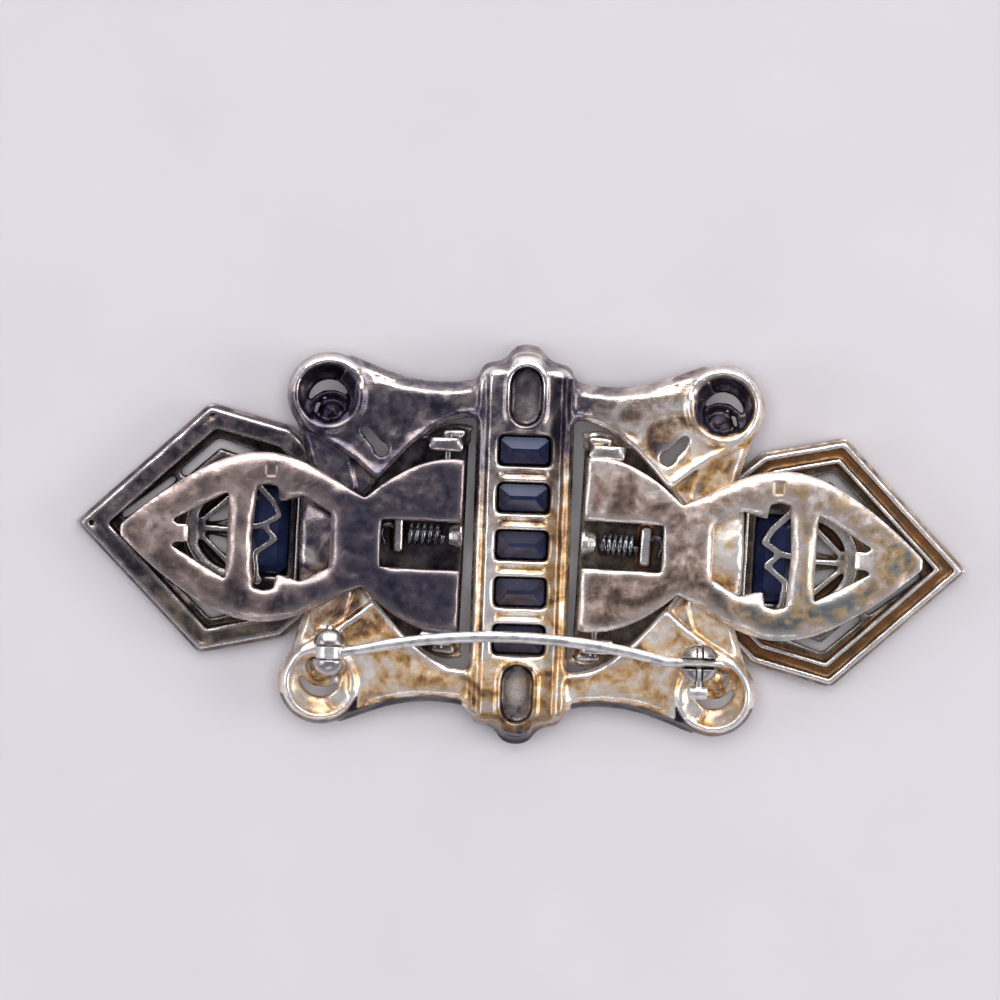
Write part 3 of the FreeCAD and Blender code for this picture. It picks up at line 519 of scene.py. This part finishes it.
for side, look in clip_looks.items():
    casting = solid_in_mm("clip_" + side + "_body", side + "_clip_casting")
    casting = joined([casting] + clip_beads(side))
    as_cast(casting, grain=0.14, softness=9 if side == "left" else 4, rounding=[(0.45, 0.5)])
    casting.data.materials.append(tarnished_with_painted_light(side + "_clip_tarnish_and_painted_light", **look))
    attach(casting, "brooch")
    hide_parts("clip_" + side + "_body")


# ---------------------------------------------------------------- clip plates
# The sprung plates that grip the cloth: hourglass sheets with filed edges, hinged between the
# lugs. The left one is slate and mauve, its dark partly a painted dark reflection, the right one is mottled
# cream, tan, pink and grey-green. Their edges are made pale by rubbing and by a painted highlight.
plate_looks = {
    # The left plate's darker tones are partly a painted dark reflection.
    "left": dict(
        dark=[(0.34, (0.055, 0.050, 0.075)), (0.46, (0.095, 0.085, 0.120)), (0.56, (0.130, 0.112, 0.145)),
              (0.66, (0.24, 0.19, 0.19))],
        pale=[(0.34, (0.09, 0.070, 0.068)), (0.45, (0.20, 0.150, 0.140)), (0.54, (0.34, 0.25, 0.22)),
              (0.66, (0.58, 0.45, 0.40))],
        towards=(-1.0, 0.15, 0.0), change=(13.0, 24.0), grime_and_shade=(0.03, 0.024, 0.030),
        worn_and_sheen=(0.84, 0.70, 0.65), gloss=(0.24, 0.42), metal=(0.9, 0.8), handled=0.3,
        lean=(-0.001, 0.012, 0.0)),
    "right": dict(
        dark=[(0.34, (0.13, 0.085, 0.065)), (0.43, (0.26, 0.19, 0.15)), (0.50, (0.46, 0.33, 0.27)),
              (0.56, (0.66, 0.50, 0.42)), (0.66, (0.84, 0.74, 0.66))],
        pale=[(0.34, (0.10, 0.13, 0.17)), (0.41, (0.24, 0.24, 0.22)), (0.47, (0.50, 0.34, 0.18)),
              (0.54, (0.54, 0.43, 0.38)), (0.62, (0.80, 0.71, 0.66))],
        towards=(1.0, 0.0, 0.0), change=(13.0, 22.0), grime_and_shade=(0.07, 0.05, 0.04),
        worn_and_sheen=(0.90, 0.83, 0.78), gloss=(0.24, 0.44), metal=(0.78, 0.68),
        handled=0.8, lean=(0.0, 0.007, 0.0)),
}
for side, look in plate_looks.items():
    plate = solid_in_mm("clip_" + side + "_plate", side + "_clip_plate")
    as_cast(plate, grain=0.105, softness=6, reach=60, depth=0.24, rounding=[(0.4, 0.4), (0.9, 0.5, 14.0, 0)])
    plate.data.materials.append(tarnished_with_painted_light(side + "_plate_tarnish_and_painted_light", **look))
    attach(plate, side + "_plate")
    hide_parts("clip_" + side + "_plate")


# ---------------------------------------------------------------- coil springs
# Steel wire wound round the clip's tongue end, pressed between a cone and an upright lug. It
# pushes the plate shut. The wire is dark with a bright line on every turn.
def wound_wire():
    """The tree that winds the wire: radius, wire thickness, length and turns are its inputs."""
    tree = bpy.data.node_groups.new("wound_wire", "GeometryNodeTree")
    tree.interface.new_socket("Geometry", in_out="OUTPUT", socket_type="NodeSocketGeometry")
    for label in ("Coil Radius", "Wire Radius", "Length", "Turns"):
        tree.interface.new_socket(label, in_out="INPUT", socket_type="NodeSocketFloat")
    tree.interface.new_socket("Wire Finish", in_out="INPUT", socket_type="NodeSocketMaterial")
    given = tree.nodes.new("NodeGroupInput")
    coil = tree.nodes.new("GeometryNodeCurveSpiral")
    coil.inputs["Resolution"].default_value = 32
    section = tree.nodes.new("GeometryNodeCurvePrimitiveCircle")
    section.inputs["Resolution"].default_value = 12
    sweep = tree.nodes.new("GeometryNodeCurveToMesh")
    sweep.inputs["Fill Caps"].default_value = True
    smooth = tree.nodes.new("GeometryNodeSetShadeSmooth")
    plain = tree.nodes.new("GeometryNodeRealizeInstances")
    coat = tree.nodes.new("GeometryNodeSetMaterial")
    result = tree.nodes.new("NodeGroupOutput")
    link = tree.links.new
    link(given.outputs["Turns"], coil.inputs["Rotations"])
    link(given.outputs["Coil Radius"], coil.inputs["Start Radius"])
    link(given.outputs["Coil Radius"], coil.inputs["End Radius"])
    link(given.outputs["Length"], coil.inputs["Height"])
    link(given.outputs["Wire Radius"], section.inputs["Radius"])
    link(coil.outputs[0], sweep.inputs["Curve"])
    link(section.outputs[0], sweep.inputs["Profile Curve"])
    link(sweep.outputs[0], smooth.inputs[0])
    link(smooth.outputs[0], plain.inputs[0])
    link(plain.outputs[0], coat.inputs["Geometry"])
    link(given.outputs["Wire Finish"], coat.inputs["Material"])
    link(coat.outputs[0], result.inputs[0])
    return tree


def polished_steel(name, tint, stain, rough, metal):
    """Drawn wire: bright metal with faint lengthwise marks and darker stains."""
    finish, tree, shader = new_finish(name)
    place = in_mm(tree)
    cloud = noise(tree, place, 1.1, 5.0)
    drawn_out = step(tree, "ShaderNodeMapping", i0=place, i3=(0.4, 9, 9)).outputs[0]
    marks = noise(tree, drawn_out, 1.6, 3.0)
    colour = ramp(tree, cloud, [(0.38, stain), (0.55, tint)])
    bump = step(tree, "ShaderNodeBump", Strength=0.35, Distance=0.00002, Height=marks)
    tree.links.new(colour, shader.inputs["Base Color"])
    tree.links.new(span(tree, cloud, 0.35, 0.65, *rough), shader.inputs["Roughness"])
    tree.links.new(bump.outputs[0], shader.inputs["Normal"])
    shader.inputs["Metallic"].default_value = metal
    return finish


winding = wound_wire()
wire_finish = polished_steel("spring_wire", (0.42, 0.44, 0.48), (0.13, 0.13, 0.15), (0.16, 0.3), 1.0)
WIRE_RADIUS = 0.19
END_ROOM = 0.1              # what is left free between the wire's ends and their seats
HOOK = [(0.9, 0.5), (1.5, 0.9), (2.0, 0.4), (2.05, -0.3), (1.6, -0.85)]
for side, turns in (("left", 5.5), ("right", 6.5)):
    low, high = (corner * 1000 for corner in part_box("clip_" + side + "_spring"))
    middle = (low + high) / 2
    coil = bare_object(side + "_spring_coil", bpy.data.meshes.new(side + "_spring_coil"))
    wind = coil.modifiers.new("wind", "NODES")
    wind.node_group = winding
    sizes = {"Coil Radius": (high.z - low.z) / 2 - WIRE_RADIUS, "Wire Radius": WIRE_RADIUS,
             "Length": high.x - low.x - 2 * WIRE_RADIUS - END_ROOM, "Turns": turns, "Wire Finish": wire_finish}
    for item in winding.interface.items_tree:
        if item.in_out == "INPUT":
            wind[item.identifier] = sizes[item.name]
    made_plain(coil)
    lie = CLIP_LIE[side] @ Matrix.Rotation(math.pi / 2, 4, "Y")
    coil.data.transform(Matrix.Translation((0, 0, -sizes["Length"] / 2)))
    coil.data.transform(IN_METRES @ Matrix.Translation(middle) @ lie)
    outer_end = high.x if side == "right" else low.x
    hook = bead([(outer_end + OUTWARDS[side] * x, middle.y + y, middle.z - 0.3) for x, y in HOOK], WIRE_RADIUS)
    hook.data.transform(IN_METRES)
    coil = joined([coil, hook])
    coil.data.materials.append(wire_finish)
    coil.data.shade_smooth()
    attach(coil, "brooch")
    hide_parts("clip_" + side + "_spring")


# ---------------------------------------------------------------- brooch pin and its lock
# A bowed steel pin with a flat eye in the ball joint, and the little turning lever that closes
# the catch. Both are polished by use.
pin_finish = polished_steel("polished_pin", (0.86, 0.85, 0.84), (0.60, 0.58, 0.57), (0.26, 0.38), 0.8)
STEM_FROM, STEM_TO = -0.0135, 0.0125        # the bent length, along x, in metres
STEM_BOW = 0.00055                          # how far its middle is bent aside
STEM_SWELL = 0.00005                        # and how much thicker it is there, on each side
for node, body in (("pin_stem", "pin"), ("catch_lock", "lock")):
    piece = solid_in_mm(node, node + "_polished")
    as_cast(piece, grain=0.068, softness=3, reach=12, depth=0.1)
    if node == "pin_stem":
        spots, facing = of_every_point(piece.data, "co"), of_every_point(piece.data, "normal")
        along = np.clip((spots[:, 0] - STEM_FROM) / (STEM_TO - STEM_FROM), 0, 1)
        bow = 4 * along * (1 - along)
        spots[:, :2] += facing[:, :2] * (STEM_SWELL * np.minimum(1.0, 3 * bow))[:, None]
        spots[:, 1] += STEM_BOW * bow
        piece.data.vertices.foreach_set("co", spots.ravel())
        piece.data.update()
    piece.data.materials.append(pin_finish)
    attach(piece, body)
    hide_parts(node)


def coated(node, finish):
    """Gives a construction piece that stays as it is its finish."""
    nodes[node].data.materials.clear()
    nodes[node].data.materials.append(finish)


coated("pin_rivet", pin_finish)
for side in ("left", "right"):
    for place in ("upper", "lower"):
        coated("clip_" + side + "_hinge_rivet_" + place, fitting_finish)


# ---------------------------------------------------------------- stones
# Navy paste stones in step cut with cut corners, five in the column and one behind each plate.
# They are clean glass, nearly black inside, with a light skin of dust. The back facets that face up are
# painted paler, most the one towards the top, as a painted highlight that fades down the column.
navy, tree, glass = new_finish("navy_paste")
where = in_mm(tree)
inside = ramp(tree, noise(tree, where, 0.5, 3.0), [(0.35, (0.007, 0.010, 0.034)), (0.65, (0.018, 0.027, 0.080))])
facet = step(tree, "ShaderNodeAttribute", {"attribute_name": "facet"}).outputs["Fac"]
# Painted highlight: the up-facing back facets are blended towards a pale slate by their facet share.
tree.links.new(blended(tree, facet, inside, (0.32, 0.35, 0.50, 1)), glass.inputs["Base Color"])
dust = noise(tree, where, 3.0, 5.0)
tree.links.new(span(tree, dust, 0.4, 0.75, 0.04, 0.22), glass.inputs["Roughness"])
glass.inputs["IOR"].default_value = 1.4


def step_cut(name, low, high, corner, levels, light):
    """A step-cut stone with cut corners between two box corners: height and width shares of each ring.
    light is how pale the wide back facet towards the top is painted, as a painted highlight, and how pale the
    other up-facing ones are."""
    shell = bmesh.new()
    middle, size = (low + high) / 2, high - low
    rings = []
    for height, share in levels:
        inset = (1 - share) * min(size.x, size.y) / 2
        x, y, cut = size.x / 2 - inset, size.y / 2 - inset, corner * share
        outline = [(x - cut, y), (x, y - cut), (x, cut - y), (x - cut, -y),
                   (cut - x, -y), (-x, cut - y), (-x, y - cut), (cut - x, y)]
        rings.append([shell.verts.new((middle.x + a, middle.y + b, low.z + height * size.z))
                      for a, b in outline])
    shell.faces.new(rings[0])
    shell.faces.new(reversed(rings[-1]))
    for lower, upper in zip(rings, rings[1:]):
        for i in range(8):
            shell.faces.new((lower[i], upper[i], upper[(i + 1) % 8], lower[(i + 1) % 8]))
    bmesh.ops.recalc_face_normals(shell, faces=shell.faces)
    mesh = bpy.data.meshes.new(name)
    shell.to_mesh(mesh)
    shell.free()
    # Painted highlight: up-facing back facets get a pale share, the one facing the top most.
    shine = mesh.attributes.new("facet", "FLOAT", "FACE")
    for face in mesh.polygons:
        if face.normal.z > 0.6:
            shine.data[face.index].value = light[0] if face.normal.y > 0.25 else light[1]
    stone = bare_object(name, mesh)
    edge = stone.modifiers.new("polish", "BEVEL")
    edge.width = POLISH
    edge.segments = 1
    return made_plain(stone)


POLISH = 0.00004            # metres of every edge that the polishing took off
CORNER = 0.0003             # and of every corner that was cut
KEEL = [(0.0, 0.62), (0.26, 0.86), (0.526, 1.0), (0.64, 1.0), (0.80, 0.88), (0.95, 0.14)]
# Painted highlight of each column stone, for its facet towards the top and for its other up-facing ones.
SHINE = [(0.56, 0.0), (0.50, 0.0), (0.12, 0.03), (0.11, 0.03), (0.08, 0.03)]
for number in range(1, 6):
    node = "stone_" + str(number)
    stone = step_cut("column_" + node, *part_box(node), CORNER, KEEL, light=SHINE[number - 1])
    stone.data.materials.append(navy)
    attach(stone, "brooch")
    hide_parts(node)
for node in ("clip_left_stone", "clip_right_stone"):
    coated(node, navy)


# ---------------------------------------------------------------- the table, light and camera
# A pale lavender-grey sheet, an even wash of light from the ceiling, a broad soft window beyond the
# upper edge that the silver mirrors, weaker ones at the sides, and a camera that looks almost
# straight down, as in the photograph.
sheet = block((-600, -600, -4), (600, 600, 0))
sheet.name = "table_sheet"
sheet.data.transform(IN_METRES)
paper, tree, surface = new_finish("pale_paper")
fibres = noise(tree, step(tree, "ShaderNodeTexCoord").outputs["Object"], 60.0, 6.0)
tree.links.new(ramp(tree, fibres, [(0.3, (0.66, 0.635, 0.67)), (0.7, (0.69, 0.665, 0.70))]),
               surface.inputs["Base Color"])
surface.inputs["Roughness"].default_value = 0.8
sheet.data.materials.append(paper)


def softbox(name, place, width, height, power, tint=(1, 1, 1), sheen=True, wash=True):
    """A broad lamp that points at the brooch. sheen says whether the silver mirrors it, and wash whether
    it lights the surfaces."""
    lamp = bpy.data.lights.new(name, "AREA")
    lamp.shape = "RECTANGLE"
    lamp.size = width
    lamp.size_y = height
    lamp.energy = power
    lamp.color = tint
    holder = bpy.data.objects.new(name, lamp)
    holder.location = place
    holder.rotation_euler = (-Vector(place)).to_track_quat("-Z", "Y").to_euler()
    holder.visible_glossy = sheen
    holder.visible_diffuse = wash
    bpy.context.scene.collection.objects.link(holder)


softbox("window_light", (0.0, 0.48, 0.32), 1.0, 0.56, 6.6, (1.0, 0.98, 0.96), wash=False)
softbox("ceiling_light", (0.0, 0.12, 0.80), 0.62, 0.55, 4.8, (1.0, 0.98, 0.95), sheen=False)
softbox("left_fill", (-0.5, -0.02, 0.30), 0.30, 0.30, 0.7, (0.93, 0.95, 1.0))
softbox("right_fill", (0.5, -0.02, 0.30), 0.30, 0.30, 1.1, (1.0, 0.97, 0.93))
softbox("front_fill", (0.0, -0.5, 0.25), 0.35, 0.12, 0.2)
world = bpy.data.worlds.new("studio")
world.use_nodes = True
sky = world.node_tree.nodes["Background"]
sky.inputs["Color"].default_value = (0.30, 0.31, 0.39, 1)
sky.inputs["Strength"].default_value = 0.6
bpy.context.scene.world = world

AIM = Vector((-0.00195, 0.00375, 0.005))    # what lies in the picture's middle
DISTANCE = 0.45
TURN = math.radians(1.9)                    # the picture is turned this much
TIP = math.radians(1.5)                     # and the camera leans this much off straight down
PICTURE = 1000                              # pixels a side
SCALE = 11.83                               # pixels a millimetre
SENSOR = 36
picture_up = Vector((-math.sin(TURN), math.cos(TURN), 0))
sight = -(Vector((0, 0, math.cos(TIP))) + picture_up * math.sin(TIP))
across = sight.cross(picture_up).normalized()
lens = bpy.data.cameras.new("camera")
lens.sensor_width = SENSOR
lens.lens = SENSOR * DISTANCE / (PICTURE / SCALE * 0.001)
camera = bpy.data.objects.new("camera", lens)
turned = Matrix((across, across.cross(sight), -sight)).transposed()
camera.matrix_world = Matrix.Translation(AIM - sight * DISTANCE) @ turned.to_4x4()
bpy.context.scene.collection.objects.link(camera)
bpy.context.scene.camera = camera
bpy.context.scene.view_settings.view_transform = "Standard"
